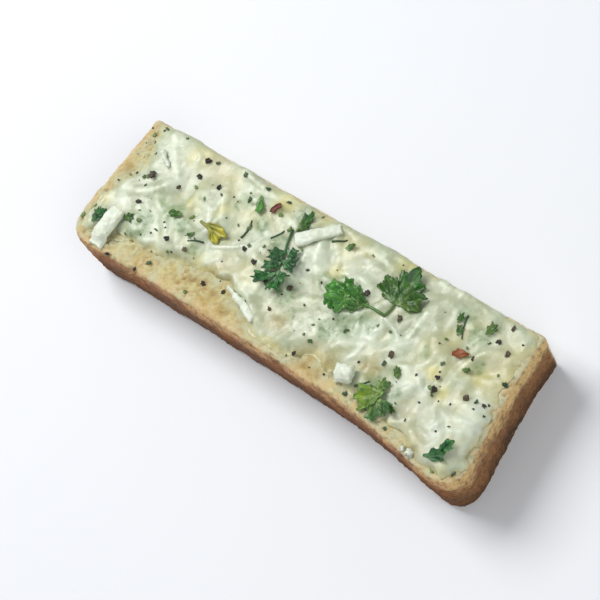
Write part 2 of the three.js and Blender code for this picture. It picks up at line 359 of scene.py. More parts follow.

# %% [markdown]
# The finish needs to know what each point is. A pore gets painted shade inside, the crags stay paler while
# the hollows between them get painted shade, the cut has a toasted line round it, and the right-hand end's
# crust is painted darker, as painted shade for the end turned away from the lamp. The plain skin and the
# way each point moved tell all this, so it is painted here, and the material only has to read it.

# %% Paint what was pressed
paint(toast, "pore", ramp01(0.05, 0.55, np.abs(raised)) * fine_crumb)
# Painted shade: the hollows of the pressed relief are marked here, to be darkened in the finish.
paint(toast, "crag_shade", ramp01(-0.22, 0.22, raised))
paint(toast, "cut", cut)
paint(toast, "top", top)
paint(toast, "pan", pan)
ends = np.minimum(place[:, 0] - place[:, 0].min(), place[:, 0].max() - place[:, 0])
brink = np.minimum(np.minimum(ends - 1.0, place[:, 2]), place[:, 2].max() - 0.4 - place[:, 2])
paint(toast, "cut_rim", ramp01(0.9, 0.1, brink + 0.5 * uneven(place, 1.5, 13)) * cut)
# Painted shade: the crust of the right-hand end, which faces away from the lamp, is marked to be painted
# darker.
paint(toast, "shaded_end", ramp01(0.25, 0.85, facing[:, 0]) * ramp01(45, 52, place[:, 0]))
print("painted on the toast:", [layer.name for layer in toast.data.attributes if layer.data_type == "FLOAT"])

# %% [markdown]
# ## The melted cheese
# Grated cheese melts from the outside in, so a baked layer still shows the soft ridges of its shreds. The
# ridges are made as short bent strands laid at random over a copy of the layer's solid and half sunk in
# it; one Remesh fuses strands and layer into one skin, and rounds of Smooth melt them together. Noise
# alone gives lumps, but never the crossing strands that say grated cheese. The layer is let down by the
# small gap that keeps the two solids apart, so that it lies on the toast.

# %% Let the layer down
SOLID_GAP = 0.35
SUNK_IN = 0.1
toast_tree = tree_of(toast)
cheese = work_copy("cheese", "melted_cheese")
move_points(cheese, points_of(cheese) - np.array([0, 0, SOLID_GAP + SUNK_IN]))
layer = tree_of(cheese)
print("layer top in mm:", round(drop(layer, 0, 0), 2))

# %% [markdown]
# A shred from the grater is a thin bar. One bar is modelled, standing straight up: a hexagon, extruded
# section by section. Every strand, and later every stalk, is a copy of that bar with its sections set
# along a track, which walks over the ground in small steps and turns a little at each. A curve with a
# round bevel is the usual way, but it can't be flattened as a melting shred is.

# %% One bar
SIDES = 6
SECTIONS = 9


def model_bar():
    bpy.ops.object.select_all(action="DESELECT")
    bpy.ops.mesh.primitive_circle_add(vertices=SIDES, radius=1, fill_type="NGON")
    bar = bpy.context.active_object
    bpy.ops.object.mode_set(mode="EDIT")
    bpy.ops.mesh.select_all(action="SELECT")
    for _ in range(SECTIONS - 1):
        bpy.ops.mesh.extrude_region_move(TRANSFORM_OT_translate={"value": (0, 0, 1)})
    bpy.ops.mesh.select_all(action="SELECT")
    bpy.ops.mesh.normals_make_consistent(inside=False)
    bpy.ops.object.mode_set(mode="OBJECT")
    # Each corner is its section and its angle, turned by half a side so that a flat face lies on top.
    corners = [(round(v.co.z), math.atan2(v.co.y, v.co.x) - math.pi / SIDES) for v in bar.data.vertices]
    faces = [tuple(p.vertices) for p in bar.data.polygons]
    bpy.data.objects.remove(bar)
    return corners, faces


bar_corners, bar_faces = model_bar()
print("bar corners and faces:", len(bar_corners), len(bar_faces))

# %% The bar along its track
# Below this height the bread's rim turns down, and no strand lies there.
RIM_HEIGHT = 13.7


def rod(centres, radii, flat):
    points = []
    for section, a in bar_corners:
        ahead = centres[min(section + 1, SECTIONS - 1)] - centres[max(section - 1, 0)]
        across = Vector((-ahead.y, ahead.x, 0)).normalized()
        r = radii[section]
        points.append(centres[section] + across * (r * math.cos(a)) + Vector((0, 0, flat * r * math.sin(a))))
    return points, bar_faces


def track(ground, x, y, aim, long, bend, lift):
    centres = []
    for _ in range(SECTIONS):
        z = drop(ground, x, y)
        if z is None or z < RIM_HEIGHT:
            return None
        centres.append(Vector((x, y, z + lift)))
        x += math.cos(aim) * long / (SECTIONS - 1)
        y += math.sin(aim) * long / (SECTIONS - 1)
        aim += bend
    return centres


# %% [markdown]
# Most strands are drawn at random, over the whole layer or round the places where the cheese stayed firm;
# a few long thin ones that show one by one are given in a list. Each bundle keeps three lists: its points,
# its faces, and the crests of its strands, which are painted white later.

# %% Bundles of strands
# Strands start within these distances of the middle.
HALF_LONG = 57
HALF_WIDE = 18


def add_rod(bundle, centres, radii, flat, crest):
    points, faces, crests = bundle
    more, skin = rod(centres, radii, flat)
    faces.extend(tuple(i + len(points) for i in f) for f in skin)
    points.extend(more)
    crests.extend(crest)


def strands(ground, count, draw, spots, long, thick):
    bundle = [], [], []
    middle = SECTIONS // 2
    while count:
        x, y = draw.uniform(-HALF_LONG, HALF_LONG), draw.uniform(-HALF_WIDE, HALF_WIDE)
        if spots:
            sx, sy, reach = draw.choice(spots)
            x, y = draw.gauss(sx + TO_ORIGIN[0], reach * 0.6), draw.gauss(sy + TO_ORIGIN[1], reach * 0.6)
        aim, bend = draw.uniform(0, 2 * math.pi), draw.uniform(-0.13, 0.13)
        radius = draw.uniform(*thick)
        centres = track(ground, x, y, aim, draw.uniform(*long), bend, 0.0)
        if centres is None:
            continue
        tapered = [radius * (1 - 0.5 * abs(i - middle) ** 3 / middle ** 3) for i in range(SECTIONS)]
        add_rod(bundle, centres, tapered, 0.7, [c + Vector((0, 0, 0.5 * radius)) for c in centres])
        count -= 1
    return bundle


def placed(ground, rows, lift):
    bundle = [], [], []
    for x, y, aim, long, radius in rows:
        centres = track(ground, x + TO_ORIGIN[0], y + TO_ORIGIN[1], math.radians(aim), long, 0.05, lift)
        add_rod(bundle, centres, [radius * (1 - 0.05 * i) for i in range(SECTIONS)], 1.0, centres)
    return bundle


# %% Lay the first strands
draw = random.Random(7)
soft = strands(layer, 90, draw, None, (5, 14), (0.6, 1.3))
soft_rods = new_piece("soft_rods", *soft[:2])
print("points of the soft strands:", len(soft[0]))

# %% [markdown]
# Cheese melts unevenly, so it is done in two rounds. The first strands are melted until only soft ridges
# are left, and slow swells lift and sink the layer; the second strands are laid on that surface where
# the cheese stayed firm, and are hardly melted at all.

# %% Fuse and melt
# Long thin strands that show one by one: start, direction in degrees, length and radius.
LONG_STRANDS = [(-20.1, -2.3, 18, 8.4, 0.42), (30.4, 1.2, 150, 6.0, 0.4), (-37.6, -9.2, 12, 4.6, 0.45)]
# Places where the shreds stayed firm and white, with their reach.
FIRM_SPOTS = [
    (50, -13, 5), (53, -6, 4), (46, -8, 6), (38, -6, 5), (30, -4, 5), (24, -1, 5), (38, 3, 5), (3, 7, 5),
    (-9, -4, 5), (-15, -3, 5), (-12, 4, 4), (-39, 9, 6), (-26, 4, 5), (-34, -6, 5), (9, -6, 5), (12, 8, 4),
]


def fuse(piece, other):
    only(piece)
    other.select_set(True)
    bpy.ops.object.join()


fuse(cheese, soft_rods)
even_faces(cheese, size_mm=0.36, melt=26)
press(cheese, cloud_texture("slow swells", 10.0, 1), 1.7)
melted = tree_of(cheese)
firm = strands(melted, 36, draw, FIRM_SPOTS, (1.6, 5.0), (0.32, 0.58))
long_ones = placed(melted, LONG_STRANDS, 0.15)
fuse(cheese, new_piece("firm_rods", *firm[:2]))
fuse(cheese, new_piece("long_rods", *long_ones[:2]))
even_faces(cheese, size_mm=0.30, melt=6)
press(cheese, cloud_texture("soft lumps", 4.2, 1), 0.7)
press(cheese, cloud_texture("skin wrinkles", 1.2, 1), 0.1)
print("cheese points:", len(cheese.data.vertices))

# %% [markdown]
# Melted cheese thins out to nothing at its edge. Sculpting could do that, but a script has no hand, so the
# edge is measured: a grid of rays finds where the layer ends, and each point's distance to the nearest
# such place says how far it is let down towards the toast. The knife-cut side keeps its full thickness,
# because the knife went through bread and cheese together.

# %% Find the edge
# Where a ray finds no bread, it counts as having met its flat top.
BREAD_TOP = 14.5


def nearest(spots, xyz):
    near = KDTree(len(spots))
    for i, spot in enumerate(spots):
        near.insert(spot, i)
    near.balance()
    return np.array([near.find(p)[2] for p in xyz.tolist()])


def bare_grid(pitch=0.5, beyond=3):
    spots = []
    for x in np.arange(-HALF_LONG - beyond, HALF_LONG + beyond, pitch).tolist():
        for y in np.arange(-HALF_WIDE - beyond, cut_y - 0.8, pitch).tolist():
            if drop(layer, x, y) is None:
                spots.append(Vector((x, y, 0)))
    return spots


place = points_of(cheese)
under = heights(toast_tree, place, BREAD_TOP)
plain = heights(plain_top, place, BREAD_TOP)
edge = nearest(bare_grid(), place * np.array([1, 1, 0]))
fade = 3.0 - 1.1 * ramp01(42, 51, place[:, 0])
full = ramp01(0.1, fade, edge + 0.8 * uneven(place, 2.2, 6))
upper = normals_of(cheese)[:, 2] > 0.1
print("points at the thin edge:", int((full < 0.5).sum()))

# %% [markdown]
# The thinned edge is then drawn out where the cheese ran: over the left end, a little over the right one,
# and over the right half of the front. There it follows the bread's own shoulder; a point that would pass
# the rim stays where it was. Last, the skin is kept just above the toast and the sole just inside it, so
# that no gap and no flicker shows between the two.

# %% Thin the edge and let it run
OFF_THE_RIM = 12.0
place[upper, 2] = np.maximum(place, under[:, None] + 0.6)[upper, 2]
place[:, 2] -= 0.88 * np.clip(place[:, 2] - under, 0, None) * (1 - full)
sway = 1 - ramp01(0.5, 4.0, edge)
along, across = place[:, 0].copy(), place[:, 1].copy()
ran_left = 1.6 * (1 - ramp01(-50, -44, along))
ran_right = 1.0 * ramp01(46, 51, along)
ran_front = 1.6 * ramp01(-10, 4, along) * ramp01(48, 36, along) * ramp01(-4, -9, across)
place[:, 0] += sway * (1.2 * uneven(place, 3.5, 8) + ran_right) - ran_left
place[:, 1] += sway * (1.2 * uneven(place, 3.5, 9) - ran_front)
shoulder = heights(plain_top, place, OFF_THE_RIM)
over = shoulder < RIM_HEIGHT
place[over, 0], place[over, 1], shoulder[over] = along[over], across[over], plain[over]
place[:, 2] += np.clip(shoulder - plain, -2.5, 0.5) - 0.55 * (1 - full) ** 3
under = heights(toast_tree, place, BREAD_TOP)
skin = upper & (edge > 0.7)
place[skin, 2] = np.maximum(place[:, 2], under + 0.1)[skin]
sole = ~upper & (place[:, 2] < under + 0.5)
place[sole, 2] = np.minimum(place[:, 2], under - 0.3)[sole]
move_points(cheese, place)
apply_modifier(cheese, "SMOOTH", factor=0.5, iterations=2)
place = points_of(cheese)
print("points kept back from the rim:", int(over.sum()))

# %% [markdown]
# The cheese isn't one white. Where it is thick and unmelted it is milky; where it has run thin the gold of
# the toast shows through; where a leaf lies under it, it turns a soft grey-green; oil leaves it creamy,
# yellow or greenish; and the grill has browned it in a few spots. One noise texture could mottle it, but
# not put each tint where it belongs, so the tints are painted as attributes: thickness is measured by a
# ray to the bread, the shreds by the distance to their crests, and all else as soft patches.

# %% Where the tints lie
# Each patch is its place and its reach.
LEAF_SHADOWS = [
    (-39.2, -6.8, 3.6), (-28.8, -2.0, 2.6), (-5.5, 13.2, 2.8), (17.7, -1.8, 4.4), (15.8, -4.5, 2.8),
    (-20.1, 9.5, 2.6), (32.2, -9.0, 2.4), (39.5, 12.4, 2.2), (-33, 0.2, 2.4), (44.5, 10.2, 2.6),
    (2.6, -3.2, 2.8), (-6, 5.4, 2.8), (8.6, 3.2, 2.2), (-12.4, 7, 2.4), (29, 8.4, 2.6), (21.5, 0.4, 3.0),
    (-46.6, -8.2, 2.2), (49, 4.2, 1.8), (36.4, -9.4, 2.4), (6.5, -6.6, 2.0), (37, 1.2, 1.8), (-24, -5.2, 1.8),
]
YELLOWED = [
    (41.2, -1.1, 1.8), (45.8, -4, 1.7), (9.5, 6.4, 2.0), (-31, 3.6, 2.0), (-23, 5, 1.5), (50, 3, 1.6),
    (-38, 13, 2.6), (-12, 14, 3.0), (22, 15, 2.6), (-20, -7, 1.8),
]
WHITE = [
    (50.5, -14.5, 3.6), (53.6, -11, 3.6), (54.6, -6, 3.2), (50, -9.5, 3.0), (43, -9, 3.0), (37, -6.5, 3.0),
    (24, -1.5, 2.6), (12, 8, 2.6), (3, 7, 2.8), (53.4, -2.5, 3), (-38, 9, 3.6), (-48, -4, 2.6), (-44, 10, 3),
]
CREAMY = [
    (2.5, -8.5, 4.0), (42.5, -10.5, 3.2), (-31, 13, 4.2), (51.5, 7, 3.0), (16, -9.5, 2.6), (-12, -4.6, 3.2),
]
GREENED = [(-34.4, -1.0, 2.6), (34, -5, 2.0), (11.5, 5.6, 1.6), (-37.6, 0.6, 1.8), (30.5, -8.6, 2.2)]
BROWNED = [
    (28.6, -6.4, 3.2), (-16.4, -7.3, 2.6), (-11.7, -8.9, 2.0), (19.9, -10.9, 2.6), (14.5, -13, 3.0),
    (47.6, -15.6, 2.4), (6, -8.5, 2.2), (33, -13.5, 2.0),
]

# %% Paint what shows through the cheese
def patches(spots, xyz):
    total = np.zeros(len(xyz))
    for x, y, reach in spots:
        far = np.hypot(xyz[:, 0] - x - TO_ORIGIN[0], xyz[:, 1] - y - TO_ORIGIN[1]) / reach
        total = np.maximum(total, np.exp(-far ** 2))
    return total


def nearness(crests, xyz, reach):
    return np.exp(-(nearest(crests, xyz) / reach) ** 2)


thick = np.clip(place[:, 2] - under, 0, 6)
mottled = uneven(place, 3.0, 1)
fine = uneven(place, 1.1, 2)
ragged = 1 + 0.9 * mottled + 0.6 * fine
bare_through = 1 - ramp01(0.15, 1.0, thick + 0.7 * mottled + 0.3 * fine)
paint(cheese, "thin", np.maximum(bare_through, 1 - ramp01(0.0, 0.9, full + 0.4 * fine)))
paint(cheese, "leaf_shadow", ramp01(0.25, 0.85, patches(LEAF_SHADOWS, place) * ragged))
patch_lists = {"browned": BROWNED, "yellowed": YELLOWED, "white": WHITE, "creamy": CREAMY, "greened": GREENED}
for zone, spots in patch_lists.items():
    paint(cheese, zone, np.clip(patches(spots, place) * ragged, 0, 1))
paint(cheese, "firm", np.clip(nearness(firm[2] + long_ones[2], place, 0.75) * (1.1 + 0.6 * fine), 0, 1))
paint(cheese, "shred", nearness(soft[2], place, 0.7))
print("cheese thickness in mm:", round(float(np.median(thick)), 2), round(float(thick.max()), 2))

# %% [markdown]
# Cheese lets light in a little way, so it has Subsurface, and its oily skin shines unevenly, so its
# roughness follows a noise. Its colour starts as two kinds of cheese, glassy where it melted and milky
# where it didn't; then each painted zone is mixed in by its share, and the browned spots come last. A mix
# for each zone is longer than one colour ramp, but each tint can be changed alone.

# %% The cheese's finish
def cheese_finish():
    f = Finish("melted cheese")
    broad = f.noise(11, 2)
    mottle = f.noise(2.4, 4, 0.6)
    fibre = f.noise(0.8, 3, 0.6)
    glassy = f.mix(f.span(broad, 0.42, 0.68), tint(167, 176, 149), tint(182, 182, 139))
    milky = f.mix(f.span(broad, 0.42, 0.7), tint(196, 206, 184), tint(203, 205, 173))
    patch = f.noise(4.5, 3, 0.5)
    white = f.maths("ADD", f.painted("shred"), f.span(patch, 0.36, 0.64, -0.6, 0.8))
    colour = f.mix(f.span(white, -0.1, 1.4), glassy, milky)
    zones = [
        ("white", 0.65, tint(211, 219, 205)), ("creamy", 0.62, tint(188, 185, 153)),
        ("thin", 0.7, tint(197, 190, 139)), ("yellowed", 0.55, tint(208, 199, 119)),
        ("firm", 0.6, tint(210, 219, 205)), ("leaf_shadow", 0.48, tint(122, 150, 108)),
        ("greened", 0.6, tint(124, 150, 96)), ("browned", 0.65, tint(158, 143, 84)),
    ]
    for zone, share, shade in zones:
        colour = f.mix(f.maths("MULTIPLY", f.painted(zone), share), colour, shade)
    chopped = f.span(f.noise(1.3, 3, 0.55), 0.48, 0.62, 0, 0.5)
    colour = f.mix(f.maths("MULTIPLY", chopped, f.painted("leaf_shadow")), colour, tint(84, 114, 64))
    colour = f.mix(f.span(fibre, 0.55, 0.75, 0, 0.25), colour, tint(211, 221, 207))
    rough = f.span(mottle, 0.35, 0.65, 0.28, 0.46)
    f.set(Base_Color=colour, Roughness=rough, Subsurface_Weight=0.5, Subsurface_Scale=0.0018)
    f.shader.inputs["Subsurface Radius"].default_value = (1.0, 0.95, 0.75)
    f.set(Normal=f.bump(fibre, 0.07, f.bump(mottle, 0.14)))
    return f.material


finish_piece(cheese, cheese_finish(), "cheese", "cheese")

# %% [markdown]
# The bare strip of the buttered side isn't even either. It is scorched in spots, toasted to gold towards
# the crust, and smeared with a thin film of fat and cheese, both next to the layer and in a few places of
# their own. These too are painted by distance: to the spots, to the crust's wall and to the cheese.

# %% Paint the buttered side
# Spots where the butter browned, and smears, each with its place and its reach.
SCORCHED = [
    (-16.6, -9.6, 1.5), (-13.4, -10.6, 1.3), (-20.4, -10.2, 1.2), (-30, -10.4, 1.4), (-36.4, -9.6, 1.3),
    (-8.6, -12.6, 1.5), (-2, -13.2, 1.2), (14.6, -12.6, 1.8), (18.6, -13.4, 1.4), (-52.4, 3, 1.6),
]
SMEARED = [(-38, -14.4, 4.0), (-29, -15, 2.6), (-19, -14.6, 2.4), (-54, 8, 2.6)]


def flat_spots(xyz):
    return [Vector((x, y, 0)) for x, y in xyz[:, :2].tolist()]


flat_toast = settled * np.array([1, 1, 0])
ragged = 0.8 + 1.1 * uneven(settled, 1.4, 3)
paint(toast, "scorched", np.clip(patches(SCORCHED, settled) * ragged, 0, 1) * top)
film = np.maximum(nearness(flat_spots(place[::5]), flat_toast, 1.9), 0.8 * patches(SMEARED, settled))
film = np.clip(film * top * (0.6 + 1.0 * uneven(settled, 2.0, 4)), 0, 1)
paint(toast, "film", film)
walls = flat_spots(settled[crust > 0.8][::4])
rim_toast = nearness(walls, flat_toast, 2.2) * (0.8 + 1.0 * uneven(settled, 1.6, 5))
paint(toast, "rim_toast", np.clip(rim_toast, 0, 1))
print("points under the film:", int((film > 0.5).sum()))

# %% [markdown]
# Toasting colours bread by place, and painted shade is laid over it. The crust runs from gold at its upper
# edge to deep brown below: the pale upper edge is partly its own colour and partly painted light, and the
# darkening downwards is painted shade. The right-hand end is painted darkest, as painted shade for the end
# turned away from the lamp. The hollows between the crags, on the crust and on the buttered side, get
# painted shade; the buttered side is golden with darker patches; the cut stays cream, with a toasted line
# at its edges. A height gradient alone would give a hard band, so the height is first disturbed by two
# noises, and pale and dark grains are then mixed over it.

# %% Colours of the crust
def crust_colours(f, broad, mottle):
    height = f.add("ShaderNodeSeparateXYZ")
    f.feed(height.inputs[0], f.place)
    rise = f.maths("ADD", height.outputs["Z"], f.span(broad, 0.3, 0.7, -0.002, 0.002))
    rise = f.maths("ADD", rise, f.span(mottle, 0.3, 0.7, -0.0008, 0.0008))
    # Painted shade: the crust darkens from its upper edge downwards, on the front and, darker still, on the
    # right-hand end.
    lower = f.mix(f.span(rise, 0.005, 0.0112), tint(112, 73, 45), tint(156, 100, 58))
    front = f.mix(f.span(rise, 0.0108, 0.0147), lower, tint(208, 168, 122))
    deep = f.mix(f.span(rise, 0.001, 0.0085), tint(74, 51, 33), tint(136, 96, 60))
    end = f.mix(f.span(rise, 0.0085, 0.0142), deep, tint(206, 176, 122))
    # Painted shade: the right-hand end takes the darker ramp.
    baked = f.mix(f.painted("shaded_end"), front, end)
    # Painted shade in the hollows of the crust's relief.
    baked = f.mix(f.span(f.painted("crag_shade"), 0.1, 0.6, 0.4, 0), baked, tint(84, 54, 32))
    streak = f.noise(1.3, 4, 0.6, (1, 1, 0.4))
    baked = f.mix(f.span(streak, 0.52, 0.75, 0, 0.35), baked, tint(122, 82, 48))
    speckle = f.noise(0.9, 3, 0.65)
    baked = f.mix(f.span(speckle, 0.52, 0.68, 0, 0.6), baked, tint(66, 42, 26))
    baked = f.mix(f.span(speckle, 0.46, 0.3, 0, 0.28), baked, tint(184, 136, 86))
    # Paler band at the crust's upper edge: partly its own colour, partly painted light from above.
    pale_lit_edge = f.maths("MULTIPLY", f.span(streak, 0.5, 0.28, 0, 0.4), f.span(rise, 0.0105, 0.0145))
    return f.mix(pale_lit_edge, baked, tint(214, 176, 122))


# %% Colours of the buttered side, the cut and the pan side
def buttered_colours(f, broad, mottle):
    golden = f.mix(f.span(broad, 0.4, 0.62), tint(198, 191, 140), tint(188, 168, 108))
    golden = f.mix(f.span(mottle, 0.45, 0.72), golden, tint(208, 200, 158))
    # Painted shade in the hollows of the buttered side's relief.
    golden = f.mix(f.span(f.painted("crag_shade"), 0.1, 0.55, 0.4, 0), golden, tint(164, 134, 80))
    golden = f.mix(f.maths("MULTIPLY", f.painted("rim_toast"), 0.75), golden, tint(212, 188, 146))
    return f.mix(f.maths("MULTIPLY", f.painted("scorched"), 0.8), golden, tint(150, 120, 66))


def cut_colours(f, mottle):
    crumb = f.mix(f.span(mottle, 0.4, 0.7), tint(238, 229, 204), tint(228, 214, 180))
    return f.mix(f.painted("cut_rim"), crumb, tint(178, 130, 76))


def pan_colours(f, mottle):
    return f.mix(f.span(mottle, 0.35, 0.7), tint(196, 150, 88), tint(164, 112, 58))


# %% [markdown]
# The zones are joined by the attributes that were painted for them; separate materials would leave hard
# borders between faces. Over all zones lie the film, the shade inside the pores and fine specks, the dark
# ones weaker where the bread is pale and the pale ones weaker on the crust.

# %% The bread's finish
def bread_finish():
    f = Finish("toasted bread")
    broad = f.noise(8, 3)
    mottle = f.noise(2.2, 5, 0.65)
    grit = f.noise(0.55, 3, 0.7)
    colour = f.mix(f.painted("top"), crust_colours(f, broad, mottle), buttered_colours(f, broad, mottle))
    colour = f.mix(f.painted("cut"), colour, cut_colours(f, mottle))
    colour = f.mix(f.painted("pan"), colour, pan_colours(f, mottle))
    colour = f.mix(f.maths("MULTIPLY", f.painted("film"), 0.8), colour, tint(190, 196, 166))
    hollow = f.mix(f.painted("cut"), tint(164, 126, 70), tint(212, 192, 152))
    pitted = f.maths("MULTIPLY", f.painted("pore"), f.span(f.painted("cut"), 0.1, 0.9, 0.6, 0.35))
    colour = f.mix(pitted, colour, hollow)
    pale = f.maths("MAXIMUM", f.painted("cut"), f.painted("top"))
    speck = f.maths("MULTIPLY", f.span(grit, 0.56, 0.74, 0, 0.5), f.span(pale, 0.1, 0.9, 1, 0.45))
    colour = f.mix(speck, colour, tint(124, 86, 46))
    fleck = f.maths("MULTIPLY", f.span(grit, 0.42, 0.28, 0, 0.35), f.span(pale, 0.1, 0.9, 0.3, 1))
    colour = f.mix(fleck, colour, tint(226, 212, 170))
    rough = f.span(broad, 0.35, 0.65, 0.6, 0.85)
    f.set(Base_Color=colour, Roughness=rough, Specular_IOR_Level=0.2)
    f.set(Subsurface_Weight=0.1, Subsurface_Scale=0.0008)
    f.shader.inputs["Subsurface Radius"].default_value = (1.0, 0.6, 0.3)
    f.set(Normal=f.bump(grit, 0.25, f.bump(mottle, 0.3)))
    return f.material


finish_piece(toast, bread_finish(), "bread", "bread")

# %% [markdown]
# ## Unmelted shreds
# A few shreds and one cube fell on late and stayed whole. Their solids are already strips with a taper and
# a sag; a Remesh and a Smooth round their corners, one cloud displacement makes their sides uneven, and a
# finer one gives the ragged faces that a grater leaves. They are let down by the same gap as the layer
# under them.

# %% Shreds and cube
def shred_finish():
    f = Finish("unmelted cheese")
    mottle = f.noise(1.6, 4, 0.6)
    grain = f.noise(0.4, 3, 0.6)
    colour = f.mix(f.span(mottle, 0.35, 0.7), tint(216, 225, 212), tint(202, 209, 188))
    f.set(Base_Color=colour, Roughness=0.42, Subsurface_Weight=0.35, Subsurface_Scale=0.0012)
    f.shader.inputs["Subsurface Radius"].default_value = (1.0, 0.85, 0.6)
    f.set(Normal=f.bump(grain, 0.08, f.bump(mottle, 0.15)))
    return f.material


whole_cheese = shred_finish()
grater = cloud_texture("grater tears", 1.3)
sag = cloud_texture("sagging sides", 3.2, 1)
whole_pieces = []
for node in ("cheese_shred_1", "cheese_shred_2", "cheese_shred_3", "cheese_shred_4", "cheese_cube"):
    piece = work_copy(node, "whole_" + node)
    move_points(piece, points_of(piece) - np.array([0, 0, 2 * SOLID_GAP]))
    even_faces(piece, size_mm=0.16, melt=14)
    press(piece, sag, 0.8)
    press(piece, grater, 0.5)
    finish_piece(piece, whole_cheese, "shred", node)
    whole_pieces.append(piece)

# %% [markdown]
# ## Parsley
# A parsley leaf is a stalk with thin blades, each with lobes, fine teeth and sunk veins, and it curls as it
# dries under the grill. One flat disc is modelled from a circle, by extruding its rim inwards ring by
# ring. Each blade is a copy of that disc: its points are drawn out to the blade's own outline, folded
# along the veins, and let down onto the cheese by rays; the blades of one leaf are joined, and a
# Solidify gives them their thickness. A plane with a cut-out texture would be quicker, but has no true
# edge.

# %% The disc that every leaf starts from
def model_disc(name, sides, rings):
    bpy.ops.object.select_all(action="DESELECT")
    bpy.ops.mesh.primitive_circle_add(vertices=sides, radius=1, fill_type="NOTHING")
    disc = bpy.context.active_object
    disc.name = name
    bpy.ops.object.mode_set(mode="EDIT")
    bpy.ops.mesh.select_all(action="SELECT")
    for ring in range(rings, 1, -1):
        bpy.ops.mesh.extrude_edges_move()
        shrink = (ring - 1) / ring
        bpy.ops.transform.resize(value=(shrink, shrink, 1))
    bpy.ops.mesh.edge_face_add()
    bpy.ops.mesh.poke()
    bpy.ops.mesh.select_all(action="SELECT")
    bpy.ops.mesh.normals_make_consistent(inside=False)
    bpy.ops.object.mode_set(mode="OBJECT")
    if disc.data.polygons[0].normal.z < 0:
        disc.data.flip_normals()
    flat = [(math.atan2(v.co.y, v.co.x), math.hypot(v.co.x, v.co.y)) for v in disc.data.vertices]
    faces = [tuple(p.vertices) for p in disc.data.polygons]
    bpy.data.objects.remove(disc)
    return flat, faces


leaf_disc = model_disc("leaf_disc", sides=112, rings=8)
print("disc points and faces:", len(leaf_disc[0]), len(leaf_disc[1]))

# %% [markdown]
# A blade runs from its base at 0 to its tip at 1 along its length. Its outline is a wedge, cut into lobes
# that are deepest near the tip, with teeth on them. Drawing every outline point by point would take long
# for so many leaves; one formula with a number for its wildness gives each blade an outline of its own.
# A vein runs from the base to each lobe, and every point keeps its gap to the nearest vein.

# %% One blade
# How far the lobes follow each other, as a share of one side's outline.
LOBE_STEP = 0.31
# The point on a blade's length from which its outline is drawn out.
HEART = 0.35


def blade_edge(a, cut, bite, wild):
    t = abs(a) / math.pi
    u, v = 0.5 + 0.5 * math.cos(a), math.sin(a) * (0.32 + 0.68 * (0.5 + 0.5 * math.cos(a)) ** 0.7)
    side = noise.noise(Vector((math.cos(a) * 1.3, math.sin(a) * 1.3, wild)))
    shift = 0.05 * noise.noise(Vector((math.sin(a), wild, 3)))
    lobe = 0.5 - 0.5 * math.cos(2 * math.pi * (t + shift) / LOBE_STEP)
    tooth = abs(((t * 15 + 2 * side) % 1) - 0.5) * 2
    reach = 1 - (cut * lobe + bite * tooth) * min(1, max(0, (0.9 - t) / 0.2)) + 0.22 * side
    return Vector((HEART + (u - HEART) * reach, v * reach))


def vein_gap(p, tips):
    gaps = []
    for tip in tips:
        along = min(1, max(0, p.dot(tip) / tip.length_squared))
        gaps.append((p - tip * along).length)
    return min(gaps)


def make_blade(long, wide, cut, bite, wild):
    size = Vector((long, wide * 0.62))
    tips = []
    for lobe in (-2, -1, 0, 1, 2):
        tip = blade_edge(lobe * LOBE_STEP * math.pi, cut, bite, wild) * 0.92
        tips.append(Vector((tip.x * size.x, tip.y * size.y)))
    points, gaps, rims = [], [], []
    for a, r in leaf_disc[0]:
        p = Vector((HEART, 0)).lerp(blade_edge(a, cut, bite, wild), r)
        p = Vector((p.x * size.x, p.y * size.y))
        points.append(p)
        gaps.append(vein_gap(p, tips))
        rims.append(r)
    return points, gaps, rims


# %% [markdown]
# A leaf is a table of blades: where each one joins the stalk, its direction in degrees, its length, its
# width and how far it leans over. Between the veins the blade bulges up, and towards its tip it curls
# away from the cheese. A cloth simulation could drape it, but a wilted leaf is stiffer than cloth: the
# heights under the blade are only evened out a little, and the blade is laid on those.

# %% Leaf builder
# Where a ray finds nothing under a topping, it counts as having met the cheese.
CHEESE_TOP = 15.0


def settle(values, faces, rounds):
    near = [set() for _ in values]
    for f in faces:
        for a in f:
            near[a].update(f)
    for _ in range(rounds):
        values = [sum(values[i] for i in n) / len(n) for n in near]
    return values


